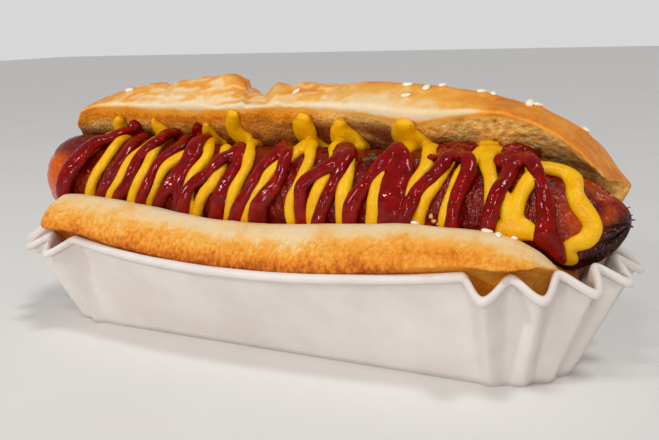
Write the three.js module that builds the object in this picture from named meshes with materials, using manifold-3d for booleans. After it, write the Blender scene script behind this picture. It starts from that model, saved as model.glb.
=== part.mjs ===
// A hot dog in its white fluted paper tray: a hinged roll, a grilled sausage, mustard and ketchup.
// Millimetres, +Z up. The origin is on the table, under the middle of the tray.
// +X runs along the hot dog to the sausage's browned, puckered end; -Y is the open side of the roll.
import * as THREE from 'three';
import { mergeVertices } from 'three/addons/utils/BufferGeometryUtils.js';
import Module from 'manifold-3d';

const wasm = await Module();
wasm.setup();

// Gap kept between pieces that touch
const GAP = 0.35;
const TRAY_CLEARANCE = 0.5;
// Vertices closer than this are one, and those of a cut solid are set on a grid this fine
const SAME_PLACE = 1e-3;
const GRID = 0.01;

// Paper tray: a stadium-shaped base, walls that lean out, flutes round both ends
const PAPER = 0.8;
const BASE_STRAIGHT = 55.6;
const BASE_RADIUS = 17.8;
const WALL_RADIUS = 28.7;
const WALL_HEIGHT = 24.6;
const LIP = 2.1;
const FLUTES_PER_END = 8;
const STEPS_PER_FLUTE = 4;
const FLUTE_DEPTH = 2.6;
const FLUTE_DEPTH_AT_BASE = 0.6;
const FLUTE_RISE = 1.8;
const SIDE_BULGE = 4.8;
const SIDE_SAG = 3.3;
// How much higher the rim is at the right end of the base than at its middle
const RIM_TILT = 0.5;
const SIDE_STEPS = 8;

// Sausage
const SAUSAGE_RADIUS = 13.2;
const SAUSAGE_LEFT = -83.8;
const SAUSAGE_RIGHT = 86.2;
const SAUSAGE_Y = -2;
const SAUSAGE_Z = 37.9;
const SAUSAGE_SIDES = 18;
const SAUSAGE_STEPS = 9;
// The left end rises off the tray, and the right end sags a little before its tip
const LEFT_LIFT = 2.8;
const RIGHT_SAG = { x: 77, depth: 1.6, width: 9 };
const BLUNT_END = 14;
const PUCKERED_END = 24;
const PUCKER_TAPER = 0.65;
const PUCKER_FOLDS = 9;
const PUCKER_DEPTH = 0.6;

// Roll: the far half stands up behind the sausage, the near half lies in front of it and under it
const ROLL_FLOOR = PAPER + TRAY_CLEARANCE;
const FAR_HALF = { from: -81.5, to: 83.5, endLength: 9, middleY: 13, middleZ: () => FAR_MIDDLE, section: farSection };
const FAR_MIDDLE = 43;
const TOP_TYPICAL = 67.5;
const TIP_SHRINK = 0.12;
const NEAR_HALF = { from: -72, to: 77.5, endLength: 10, middleY: -15, middleZ: nearMiddle, section: nearSection };
const NEAR_DEPTH = 6.5;
const ROLL_STEPS = 22;
const TOP_HEIGHT = [
  [-81.5, 60], [-77, 61.5], [-71, 63.9], [-62, 66.4], [-43, 68.2], [-29, 68.4],
  [0, 67.4], [20, 67.6], [40, 66.2], [55, 63.6], [66, 60], [74.4, 54.8], [79, 49.3], [83.5, 46],
];
const LIP_HEIGHT = [
  [-81.5, 54], [-76, 57], [-67, 59.6], [-31, 59.2], [0, 60.4], [20, 59.6], [34, 57.4],
  [45, 59], [55, 60], [65, 57.6], [75, 51.5], [83.5, 43.5],
];
const CREST_HEIGHT = [
  [-72, 37], [-66, 38.4], [-58, 38.5], [-36, 36.7], [-10, 34.4], [12, 35], [45, 37.4],
  [62, 36.8], [71, 33.4], [78, 28],
];
// Where the crust has torn: a flap that stands up and a dent beside it
const FLAP = { x: -26, height: 1.4, width: 5 };
const DENT = { x: -17.5, depth: 4, width: 5 };
// The face that the knife left on the far half, above the sausage: its foot and its lip
const FACE_FOOT = [4.6, 50.3];
const FACE_LIP_Y = -2;

// Sauces, as zigzags over the sausage. One row is one bend to the far side and back:
// x where it starts, x on the way up, x and reach of the far turn, x on the way down, x where it ends,
// and the radius of the blob at the far turn, if it has one
const MUSTARD_BEAD = 1.65;
const MUSTARD_BENDS = [
  [-69, -63.5, -60.5, 34, -55, -59, 0],
  [-52, -46.5, -44.5, 35, -40, -44, 0],
  [-39, -33, -29, 31, -23, -25, 0],
  [-22.5, -16.5, -18, 37, -8, -12, 0],
  [-7, -0.5, 3, 33, 10, 7, 3.5],
  [13, 16, 15, 34, 21, 21, 2.6],
  [29, 31, 32.5, 35, 40.5, 39, 3.6],
  [41, 45, 47.5, 19, 50, 48.5, 0],
  [49, 50.5, 53.5, 20, 57, 58, 3.2],
  [61, 63, 65, 17, 66, 65, 0],
];
const MUSTARD_LOOP = [
  [65, 0], [66.5, 12], [68, 15.5], [72, 15.5], [75, 12], [75.4, 8], [77, 5], [79.4, 1.5], [79, -1.5],
];
const MUSTARD_TAIL = [[79.3, -0.5], [76.6, -3.8], [75.2, -6], [75, -9]];
const MUSTARD_POOL = { x: 64.5, along: 0.5, radius: 3.6 };
const KETCHUP_BEAD = 1.8;
const KETCHUP_BENDS = [
  [-67, -61.5, -57, 34, -49, -54, 0],
  [-49, -43.5, -40, 32, -35.5, -40, 0],
  [-35, -29, -31, 36, -26.5, -29, 0],
  [-26, -17, -13, 18, -11.5, -16.5, 0],
  [-10, -2.5, 0.5, 24, 4, -3.5, 0],
  [10, 15, 18, 20, 20, 14, 0],
  [23, 28.5, 33, 20, 34.5, 33, 0],
  [38, 44, 44.5, 24, 51.3, 49, 0],
  [58, 60.5, 60.5, 24, 69, 70.5, 2.6],
];
const KETCHUP_DRIP = [[70.5, -1], [71.8, -4], [73.6, -7]];
const KETCHUP_POOL = { x: 45.5, along: 17, radius: 4.6 };
// How high a bead's middle lies above what it lies on, and how deep its underside sinks into that
const MUSTARD_LIFT = 0.6;
const KETCHUP_LIFT = 1.1;
const BEAD_SINKS = 1.1;
// Lengths of a bead's facets
const BEAD_STEP = 7.5;
const LOOP_STEP = 3;
// Length of the tongue at the far turn, the lowest place where the legs run into it, and how far it
// reaches back under them, in bead radii
const TONGUE = 10;
const FORK_LOWEST = 13;
const TONGUE_OVERLAP = 2.1;
// How far along the sausage's side a bend starts, and where its way up or down crosses the top
const BEND_START = -4;
const BEND_SHOULDER = 9;

// Sesame seeds on the crust: x, and the angle round the half's middle, from straight up towards +Y
const SEED = { length: 1.7, width: 1.05, thickness: 0.6 };
const SEEDS_IN_FRONT = [
  [-59.7, -20], [-1.5, -24], [29, -14], [34.4, -16], [30.6, -27], [37.9, -11], [48.2, -13],
  [51, -13], [60, -14], [62, -13], [72.8, -10],
];
const SEEDS_BEHIND = { count: 16, from: -60, to: 70, lowest: 20, highest: 75, seed: 7 };

// A smooth function through a few chosen points, read by their first coordinate
function outline(points) {
  const slopes = points.map((point, i) => {
    const before = points[Math.max(i - 1, 0)];
    const after = points[Math.min(i + 1, points.length - 1)];
    return (after[1] - before[1]) / (after[0] - before[0]);
  });
  return (x) => {
    const next = points.findIndex((point) => point[0] > x);
    const i = next < 0 ? points.length - 2 : Math.max(next - 1, 0);
    const [x0, y0] = points[i];
    const [x1, y1] = points[i + 1];
    const span = x1 - x0;
    const u = THREE.MathUtils.clamp((x - x0) / span, 0, 1);
    const rise = u * u * (3 - 2 * u);
    const leaving = u * (1 - u) * (1 - u) * span * slopes[i];
    const arriving = -u * u * (1 - u) * span * slopes[i + 1];
    return y0 + (y1 - y0) * rise + leaving + arriving;
  };
}

const topHeight = outline(TOP_HEIGHT);
const lipHeight = outline(LIP_HEIGHT);
const crestHeight = outline(CREST_HEIGHT);

function bump(x, middle, width) {
  return Math.exp(-(((x - middle) / width) ** 2));
}

// A closed surface through rings of points, with a fan over the first and the last ring
function loft(rings) {
  const count = rings[0].length;
  const positions = rings.flat().flatMap((point) => [point.x, point.y, point.z]);
  const index = [];
  for (let r = 0; r < rings.length - 1; r += 1) {
    for (let i = 0; i < count; i += 1) {
      const a = r * count + i;
      const b = r * count + (i + 1) % count;
      index.push(a, b, b + count, a, b + count, a + count);
    }
  }
  const ends = [[rings[0], 0, true], [rings[rings.length - 1], (rings.length - 1) * count, false]];
  for (const [ring, first, turned] of ends) {
    const centre = new THREE.Vector3();
    ring.forEach((point) => centre.addScaledVector(point, 1 / count));
    const hub = positions.length / 3;
    positions.push(centre.x, centre.y, centre.z);
    for (let i = 0; i < count; i += 1) {
      const a = first + i;
      const b = first + (i + 1) % count;
      index.push(...(turned ? [hub, b, a] : [hub, a, b]));
    }
  }
  const geometry = new THREE.BufferGeometry();
  geometry.setAttribute('position', new THREE.Float32BufferAttribute(positions, 3));
  geometry.setIndex(index);
  return outward(geometry);
}

// Turns a closed surface so that its faces point out
function outward(geometry) {
  const p = geometry.attributes.position;
  const index = geometry.index.array;
  const [a, b, c] = [new THREE.Vector3(), new THREE.Vector3(), new THREE.Vector3()];
  let volume = 0;
  for (let i = 0; i < index.length; i += 3) {
    a.fromBufferAttribute(p, index[i]);
    b.fromBufferAttribute(p, index[i + 1]);
    c.fromBufferAttribute(p, index[i + 2]);
    volume += a.dot(b.cross(c));
  }
  if (volume < 0) {
    for (let i = 0; i < index.length; i += 3) {
      [index[i], index[i + 1]] = [index[i + 1], index[i]];
    }
  }
  return geometry;
}

function solid(geometry) {
  const bare = geometry.clone();
  bare.deleteAttribute('normal');
  bare.deleteAttribute('uv');
  const merged = mergeVertices(bare, SAME_PLACE);
  return new wasm.Manifold(new wasm.Mesh({
    numProp: 3,
    vertProperties: new Float32Array(merged.attributes.position.array),
    triVerts: new Uint32Array(merged.index.array),
  }));
}

// The largest body of a cut solid, without loose scraps or sealed hollows
function largestBody(manifold) {
  return manifold.decompose().sort((a, b) => b.volume() - a.volume())[0];
}

function geometryOf(manifold) {
  const mesh = manifold.getMesh();
  const onGrid = Array.from(mesh.vertProperties, (value) => Math.round(value / GRID) * GRID);
  const geometry = new THREE.BufferGeometry();
  geometry.setAttribute('position', new THREE.Float32BufferAttribute(onGrid, 3));
  geometry.setIndex(Array.from(mesh.triVerts));
  return geometry;
}

// A cut solid as one closed body. Merging its vertices can pinch off flakes, which are dropped too.
function wholePiece(manifold) {
  const merged = largestBody(solid(geometryOf(largestBody(manifold))));
  return geometryOf(largestBody(solid(geometryOf(merged))));
}

function unite(solids) {
  return solids.reduce((sum, next) => sum.add(next));
}

// Places round the tray: where each stands on the base's spine, which way is out, and how it is fluted
function trayStations() {
  const stations = [];
  const arcSteps = FLUTES_PER_END * STEPS_PER_FLUTE;
  for (const end of [1, -1]) {
    for (let i = 0; i <= arcSteps; i += 1) {
      const turn = Math.PI * i / arcSteps;
      const flute = Math.cos(2 * Math.PI * i / STEPS_PER_FLUTE);
      const out = new THREE.Vector2(end * Math.sin(turn), -end * Math.cos(turn));
      stations.push({ x: end * BASE_STRAIGHT, out, flute, middle: 0 });
    }
    for (let i = 1; i < SIDE_STEPS; i += 1) {
      const x = end * BASE_STRAIGHT * (1 - 2 * i / SIDE_STEPS);
      const middle = 1 - (x / BASE_STRAIGHT) ** 2;
      stations.push({ x, out: new THREE.Vector2(0, end), flute: 1, middle });
    }
  }
  return stations;
}

// One point of the tray's outer skin: rise is 0 at the base and 1 at the foot of the lip
function trayPoint(station, rise, lip, inset, lift) {
  const fluteDepth = THREE.MathUtils.lerp(FLUTE_DEPTH_AT_BASE, FLUTE_DEPTH, rise);
  const radius = THREE.MathUtils.lerp(BASE_RADIUS, WALL_RADIUS, rise)
    - fluteDepth * station.flute + SIDE_BULGE * station.middle * rise + lip - inset;
  const height = WALL_HEIGHT * rise
    + rise * (FLUTE_RISE * station.flute - SIDE_SAG * station.middle + RIM_TILT * station.x / BASE_STRAIGHT)
    + lip + lift;
  return new THREE.Vector3(station.x + radius * station.out.x, radius * station.out.y, height);
}

function paperTray() {
  const stations = trayStations();
  const ring = (rise, lip, inset, lift) => (
    stations.map((station) => trayPoint(station, rise, lip, inset, lift))
  );
  const wallInset = PAPER * 1.1;
  const lipInset = PAPER * 0.7;
  return loft([
    ring(0, 0, 0, 0),
    ring(0.5, 0, 0, 0),
    ring(1, 0, 0, 0),
    ring(1, LIP, 0, 0),
    ring(1, LIP, lipInset, lipInset),
    ring(1, 0, wallInset, 0),
    ring(0.5, 0, wallInset, 0),
    ring(0, 0, wallInset, PAPER),
  ]);
}

// The tray and all that lies outside it, up to its rim, with a clearance inside. It has no flutes:
// it follows their inner crests.
function trayAndOutside() {
  const stations = trayStations()
    .filter((station, i) => station.middle > 0 || i % (STEPS_PER_FLUTE / 2) === 0)
    .map((station) => ({ ...station, flute: 1 }));
  const ring = (rise, lip, inset, lift) => (
    stations.map((station) => trayPoint(station, rise, lip, inset, lift))
  );
  const outside = -BASE_RADIUS;
  const wallInset = PAPER * 1.1 + TRAY_CLEARANCE;
  return solid(loft([
    ring(0, 0, outside, -PAPER),
    ring(1, 0, outside, LIP + PAPER + TRAY_CLEARANCE),
    ring(1, LIP, PAPER * 0.7, PAPER + TRAY_CLEARANCE),
    ring(1, 0, wallInset, TRAY_CLEARANCE),
    ring(0.5, 0, wallInset, 0),
    ring(0, 0, wallInset, PAPER + TRAY_CLEARANCE),
  ]));
}

// How full a half of the roll is at x: 1 along most of its length, falling to its rounded ends
function fullness(half, x) {
  const fromEnd = Math.min(x - half.from, half.to - x);
  const t = THREE.MathUtils.clamp(1 - fromEnd / half.endLength, 0, 1);
  return Math.sqrt(Math.max(1 - t ** 2.4, 0.02));
}

// The far half's outline at x: the top's height sets how much the whole outline has shrunk there
function farSection(x) {
  const top = topHeight(x) + FLAP.height * bump(x, FLAP.x, FLAP.width);
  const dent = DENT.depth * bump(x, DENT.x, DENT.width);
  const shrink = Math.max((topHeight(x) - FAR_MIDDLE) / (TOP_TYPICAL - FAR_MIDDLE), TIP_SHRINK);
  const lip = Math.min(lipHeight(x), top - 3);
  const [footY, footZ] = FACE_FOOT;
  const around = [
    [25, 59.5], [30.5, 50.5], [32, 37.5], [30, 25], [25, 14], [17, 5], [8, ROLL_FLOOR], [-4, ROLL_FLOOR],
    [-8, 12], [-5, 30], [5.5, 47.5], [footY, footZ],
  ].map(([y, z]) => [
    FAR_HALF.middleY + (y - FAR_HALF.middleY) * shrink ** 0.7,
    FAR_MIDDLE + (z - FAR_MIDDLE) * shrink,
  ]);
  const foot = around[around.length - 1];
  return [
    [FACE_LIP_Y, lip], [-2.8, lip + (top - lip) * 0.35 - 0.3 * dent], [1.5, top - (top - lip) * 0.36 - 0.8 * dent],
    [9, top - dent], [17, top - 2 - 0.6 * dent], ...around, [(foot[0] + FACE_LIP_Y) / 2, (foot[1] + lip) / 2],
  ];
}

function nearMiddle(x) {
  return crestHeight(x) - NEAR_DEPTH;
}

function nearSection(x) {
  const crest = crestHeight(x);
  return [
    [-12.5, crest - 3.2], [-17, crest - 0.5], [-20.5, crest], [-25, crest - 1.8], [-29, crest - 5.4],
    [-31, crest - 10.5], [-30, 18], [-26.5, 10.5], [-21, 5], [-14, 2], [-4, ROLL_FLOOR], [7, ROLL_FLOOR],
    [11, 10], [5, crest - 6],
  ];
}

// A half's outline at x with its ends rounded off
function roundedSection(half, x) {
  const full = fullness(half, x);
  const middleZ = half.middleZ(x);
  return half.section(x).map(([y, z]) => new THREE.Vector2(
    half.middleY + (y - half.middleY) * full,
    middleZ + (z - middleZ) * full,
  ));
}

// A half of the roll, swelled by a margin all round
function rollHalf(half, margin) {
  const rings = [];
  for (let i = 0; i <= ROLL_STEPS; i += 1) {
    const closeToEnds = (1 - Math.cos(Math.PI * i / ROLL_STEPS)) / 2;
    const along = THREE.MathUtils.lerp(i / ROLL_STEPS, closeToEnds, 0.6);
    const place = THREE.MathUtils.lerp(half.from, half.to, along);
    const x = THREE.MathUtils.lerp(half.from - margin, half.to + margin, along);
    rings.push(swell(roundedSection(half, place), margin).map(({ x: y, y: z }) => new THREE.Vector3(x, y, z)));
  }
  return solid(loft(rings));
}

// Moves each point of an outline out by a margin, along the mean of its two sides' normals
function swell(points, margin) {
  const side = Math.sign(THREE.ShapeUtils.area(points));
  return points.map((point, i) => {
    const before = points[(i + points.length - 1) % points.length];
    const after = points[(i + 1) % points.length];
    const way = after.clone().sub(before).normalize();
    return new THREE.Vector2(point.x + way.y * side * margin, point.y - way.x * side * margin);
  });
}

function sausageRadius(x) {
  const blunt = THREE.MathUtils.clamp((SAUSAGE_LEFT + BLUNT_END - x) / BLUNT_END, 0, 1);
  const puckered = THREE.MathUtils.clamp((x - SAUSAGE_RIGHT + PUCKERED_END) / PUCKERED_END, 0, 1);
  const uneven = 0.25 * Math.sin(x / 17) + 0.15 * Math.sin(x / 7.3 + 1);
  return (SAUSAGE_RADIUS + uneven) * Math.sqrt(1 - blunt ** 2) * (1 - puckered ** 2) ** PUCKER_TAPER;
}

function sausageMiddle(x) {
  const lift = LEFT_LIFT * (Math.min(x, 0) / SAUSAGE_LEFT) ** 4;
  const sag = RIGHT_SAG.depth * bump(x, RIGHT_SAG.x, RIGHT_SAG.width);
  return new THREE.Vector3(x, SAUSAGE_Y, SAUSAGE_Z + lift - sag);
}

// The sausage's skin, swelled by a margin. Its right end is drawn into folds round a charred knot.
function sausage(margin) {
  const stations = [0, 0.4, 1.6, 4, 8, BLUNT_END].map((d) => SAUSAGE_LEFT + d);
  const evenLength = SAUSAGE_RIGHT - PUCKERED_END - SAUSAGE_LEFT - BLUNT_END;
  for (let i = 1; i <= SAUSAGE_STEPS; i += 1) {
    stations.push(SAUSAGE_LEFT + BLUNT_END + evenLength * i / SAUSAGE_STEPS);
  }
  [19.5, 15, 11, 7.5, 4.5, 2.2, 0.8].forEach((d) => stations.push(SAUSAGE_RIGHT - d));
  const knot = [[0, 2.2], [0.8, 1.5]];
  const ring = (x, radius, folds) => Array.from({ length: SAUSAGE_SIDES }, (_, i) => {
    const turn = 2 * Math.PI * i / SAUSAGE_SIDES;
    const r = radius + margin + folds * Math.cos(PUCKER_FOLDS * turn);
    return sausageMiddle(x).add(new THREE.Vector3(0, r * Math.cos(turn), r * Math.sin(turn)));
  });
  const rings = stations.map((x) => {
    const intoEnd = THREE.MathUtils.clamp((x - SAUSAGE_RIGHT + PUCKERED_END) / PUCKERED_END, 0, 1);
    return ring(x, Math.max(sausageRadius(x), 0.4), PUCKER_DEPTH * intoEnd);
  });
  knot.forEach(([past, radius]) => rings.push(ring(SAUSAGE_RIGHT + past, radius, 0)));
  rings[0].forEach((point) => { point.x -= margin; });
  return solid(loft(rings));
}

// A place on what the sauces lie on, at x and at a distance along the section. The distance is 0
// halfway up the sausage's near side and grows over its top and on up the cut face.
function drape(x, along) {
  const radius = sausageRadius(x);
  const middle = sausageMiddle(x);
  const footTurn = Math.atan2(FACE_FOOT[1] - SAUSAGE_Z, FACE_FOOT[0] - SAUSAGE_Y);
  const toFoot = SAUSAGE_RADIUS * (Math.PI - footTurn);
  if (along <= toFoot) {
    const turn = Math.PI - along / SAUSAGE_RADIUS;
    const out = new THREE.Vector3(0, Math.cos(turn), Math.sin(turn));
    return { place: middle.addScaledVector(out, radius), out };
  }
  const foot = new THREE.Vector3(x, ...FACE_FOOT);
  const up = new THREE.Vector3(x, FACE_LIP_Y, lipHeight(x)).sub(foot).normalize();
  const out = new THREE.Vector3(0, -up.z, up.y);
  return { place: foot.addScaledVector(up, along - toFoot), out };
}

// A bead of sauce along a route of [x, along] points: flat underneath, its last end rounded if asked
function bead(route, radius, lift, step, rounded) {
  const path = new THREE.CatmullRomCurve3(route.map(([x, along]) => new THREE.Vector3(x, along, 0)));
  const steps = Math.ceil(path.getLength() / step);
  const centres = path.getSpacedPoints(steps).map(({ x, y }) => {
    const { place, out } = drape(x, y);
    return { place: place.clone().addScaledVector(out, lift), out };
  });
  const sunk = -(lift + BEAD_SINKS) / radius;
  const section = [[-1, sunk], [-0.62, 0.85], [0.62, 0.85], [1, sunk]];
  const ring = ({ place, out }, way, scale, shift) => {
    const across = new THREE.Vector3().crossVectors(way, out).normalize();
    return section.map(([a, b]) => (
      place.clone()
        .addScaledVector(across, a * radius * scale)
        .addScaledVector(out, b * radius * scale)
        .addScaledVector(way, shift)
    ));
  };
  const rings = centres.map((centre, i) => {
    const before = centres[Math.max(i - 1, 0)].place;
    const after = centres[Math.min(i + 1, steps)].place;
    const way = after.clone().sub(before).normalize();
    return { at: ring(centre, way, 1, 0), past: ring(centre, way, 0.55, 0.75 * radius) };
  });
  const whole = rings.map(({ at }) => at);
  return solid(loft(rounded ? [...whole, rings[steps].past] : whole));
}

function blob({ x, along, radius }, lift) {
  const { place, out } = drape(x, along);
  const geometry = new THREE.SphereGeometry(radius, 8, 5);
  geometry.scale(1, 0.6, 1);
  geometry.applyQuaternion(new THREE.Quaternion().setFromUnitVectors(new THREE.Vector3(0, 1, 0), out));
  geometry.translate(...place.addScaledVector(out, lift));
  return solid(mergeVertices(stripped(geometry)));
}

function stripped(geometry) {
  geometry.deleteAttribute('normal');
  geometry.deleteAttribute('uv');
  return geometry;
}

// One bend of a zigzag: its legs run together into a tongue, which may end in a blob
function bend([start, up, turn, reach, down, end, blobRadius], radius, lift) {
  const fork = Math.max(reach - TONGUE, FORK_LOWEST);
  const pull = (x) => THREE.MathUtils.lerp(x, turn, 0.75);
  const pieces = [
    bead([[start, BEND_START], [up, BEND_SHOULDER], [pull(up), fork]], radius, lift, BEAD_STEP, false),
    bead([[end, BEND_START], [down, BEND_SHOULDER], [pull(down), fork]], radius, lift, BEAD_STEP, false),
    bead([[turn, fork - TONGUE_OVERLAP * radius], [turn, reach]], radius * 1.1, lift, BEAD_STEP, true),
  ];
  return blobRadius ? [...pieces, blob({ x: turn, along: reach, radius: blobRadius }, lift)] : pieces;
}

function mustard() {
  return [
    ...MUSTARD_BENDS.flatMap((row) => bend(row, MUSTARD_BEAD, MUSTARD_LIFT)),
    bead(MUSTARD_LOOP, MUSTARD_BEAD, MUSTARD_LIFT, LOOP_STEP, true),
    bead(MUSTARD_TAIL, MUSTARD_BEAD, MUSTARD_LIFT, LOOP_STEP, true),
    blob(MUSTARD_POOL, MUSTARD_LIFT),
  ];
}

function ketchup() {
  return [
    ...KETCHUP_BENDS.flatMap((row) => bend(row, KETCHUP_BEAD, KETCHUP_LIFT)),
    bead(KETCHUP_DRIP, KETCHUP_BEAD * 1.2, KETCHUP_LIFT, LOOP_STEP, true),
    blob(KETCHUP_POOL, MUSTARD_LIFT),
  ];
}

// The same numbers on every run
function repeatable(seed) {
  let state = seed;
  return () => {
    state = (state * 1664525 + 1013904223) % 4294967296;
    return state / 4294967296;
  };
}

// Where a line from a half's middle, at an angle from straight up, comes out of its crust
function crustPoint(half, x, angle) {
  const middle = new THREE.Vector2(half.middleY, half.middleZ(x));
  const way = new THREE.Vector2(Math.sin(angle), Math.cos(angle));
  const points = roundedSection(half, x).map((point) => point.sub(middle));
  let best = { distance: 0 };
  points.forEach((a, i) => {
    const edge = points[(i + 1) % points.length].clone().sub(a);
    const cross = way.cross(edge);
    const distance = a.cross(edge) / cross;
    const share = a.cross(way) / cross;
    if (share >= 0 && share <= 1 && distance > best.distance) {
      const out = new THREE.Vector2(edge.y, -edge.x).normalize();
      best = { distance, out: out.dot(way) < 0 ? out.negate() : out };
    }
  });
  const place = middle.addScaledVector(way, best.distance);
  return { place: new THREE.Vector3(x, place.x, place.y), out: new THREE.Vector3(0, best.out.x, best.out.y) };
}

function sesameSeeds() {
  const random = repeatable(SEEDS_BEHIND.seed);
  const places = SEEDS_IN_FRONT.map(([x, degrees]) => [x, degrees]);
  for (let i = 0; i < SEEDS_BEHIND.count; i += 1) {
    places.push([
      THREE.MathUtils.lerp(SEEDS_BEHIND.from, SEEDS_BEHIND.to, (i + 0.2 + 0.6 * random()) / SEEDS_BEHIND.count),
      THREE.MathUtils.lerp(SEEDS_BEHIND.lowest, SEEDS_BEHIND.highest, random()),
    ]);
  }
  return places.map(([x, degrees]) => {
    const { place, out } = crustPoint(FAR_HALF, x, THREE.MathUtils.degToRad(degrees));
    const geometry = new THREE.IcosahedronGeometry(1, 0);
    geometry.scale(SEED.length, SEED.width, SEED.thickness);
    geometry.rotateZ(random() * Math.PI);
    geometry.applyQuaternion(new THREE.Quaternion().setFromUnitVectors(new THREE.Vector3(0, 0, 1), out));
    geometry.translate(...place);
    return solid(mergeVertices(stripped(geometry)));
  });
}

function rollHalves(margin) {
  return rollHalf(FAR_HALF, margin).add(rollHalf(NEAR_HALF, margin));
}

function roll() {
  const whole = unite([rollHalves(0), ...sesameSeeds()]);
  return wholePiece(whole.subtract(trayAndOutside()).subtract(sausage(GAP)));
}

function dressedSausage() {
  const sauces = unite([...mustard(), ...ketchup()]).subtract(rollHalves(GAP));
  return wholePiece(sausage(0).add(sauces));
}

function piece(name, geometry, color, roughness) {
  const mesh = new THREE.Mesh(geometry, new THREE.MeshStandardMaterial({ color, roughness, metalness: 0 }));
  mesh.name = name;
  return mesh;
}

const hotDog = new THREE.Group();
hotDog.add(
  piece('paper_tray', paperTray(), 0xe6e2dd, 0.6),
  piece('roll', roll(), 0xd79a4e, 0.75),
  piece('sausage', dressedSausage(), 0x8c1a0c, 0.3),
);

export default hotDog;
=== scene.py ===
"""A hot dog in its white fluted paper tray: pale crust and torn crumb, a grilled sausage, mustard and ketchup.

Metres, +Z up, in the frame of the solids. +X runs to the sausage's browned, puckered end, -Y is the open side.
"""

from math import atan2, cos, pi, radians, sin, sqrt

import bpy
import bmesh
import numpy as np
from mathutils import Matrix, Vector
from mathutils.bvhtree import BVHTree
from mathutils.kdtree import KDTree
from numpy.linalg import norm


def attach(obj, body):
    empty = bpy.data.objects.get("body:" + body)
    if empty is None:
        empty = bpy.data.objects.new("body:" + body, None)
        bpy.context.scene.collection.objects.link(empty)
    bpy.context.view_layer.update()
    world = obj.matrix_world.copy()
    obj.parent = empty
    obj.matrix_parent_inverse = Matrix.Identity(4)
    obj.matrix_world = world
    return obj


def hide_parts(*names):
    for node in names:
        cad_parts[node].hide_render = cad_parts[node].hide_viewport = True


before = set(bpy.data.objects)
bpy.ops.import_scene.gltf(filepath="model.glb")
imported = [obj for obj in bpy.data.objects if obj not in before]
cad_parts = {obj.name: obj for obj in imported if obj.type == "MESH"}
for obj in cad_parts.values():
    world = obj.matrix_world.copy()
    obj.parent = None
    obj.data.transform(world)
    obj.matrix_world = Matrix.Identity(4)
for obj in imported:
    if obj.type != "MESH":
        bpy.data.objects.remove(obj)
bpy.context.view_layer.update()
MM = 0.001

# ------ sizes, in millimetres

BASE_STRAIGHT = 55.6
BASE_RADIUS = 17.8
WALL_RADIUS = 28.95
WALL_HEIGHT = 25.9
RIM_ROLL = 0.72
RIM_TURN = 250
FLUTES_PER_END = 8
FLUTE_STEPS = 18
SIDE_STEPS = 48
WALL_STEPS = 14
RIM_STEPS = 10
FLUTE_DEPTH = 2.6
FLUTE_DEPTH_AT_BASE = 0.6
FLUTE_RISE = 1.8
FOLD_SHARPNESS = 0.72
SIDE_BULGE = 4.8
SIDE_SAG = 3.3
RIM_TILT = 0.5
BASE_INSET = 2.5
PAPER_THICKNESS = 0.45

SAUSAGE_RADIUS = 13.2
SAUSAGE_LEFT = -83.8
SAUSAGE_RIGHT = 86.2
SAUSAGE_Y = -2.0
SAUSAGE_Z = 37.9
LEFT_LIFT = 2.8
SAG_X = 77
SAG_DEPTH = 1.6
SAG_WIDTH = 9
BLUNT_END = 14
PUCKERED_END = 24
PUCKER_TAPER = 0.65
PUCKER_FOLDS = 13
FOLDED_END = 22
FINE_END = 26

FACE_FOOT = (4.6, 50.3)
FACE_LIP_Y = -2.0
FAR_MIDDLE = (13.0, 43.0)
FLAP_TOP = 69.2
TEAR_SLANT = 0.545
ROLL_VOXEL = 0.745
SAUCE_VOXEL = 0.42
# Heights along the roll, each an x and a z: the cut face's upper edge and the near half's crest
LIP_HEIGHT = (
    (-81.5, 54), (-76, 57), (-67, 59.6), (-31, 59.2), (0, 60.4), (20, 59.6), (34, 57.4),
    (45, 59), (55, 60), (65, 57.6), (75, 51.5), (83.5, 43.5),
)
CREST_HEIGHT = (
    (-72, 37), (-66, 38.4), (-58, 38.5), (-36, 36.7), (-10, 34.4), (12, 35), (45, 37.4),
    (62, 36.8), (71, 33.4), (78, 28),
)

# Bites out of the crown's torn edge: how deep, at what x and how wide
BITES = ((0.9, -18, 1.4), (0.7, -8.5, 1.2), (0.9, -50.5, 1.0), (0.5, 6.5, 0.9))

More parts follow.
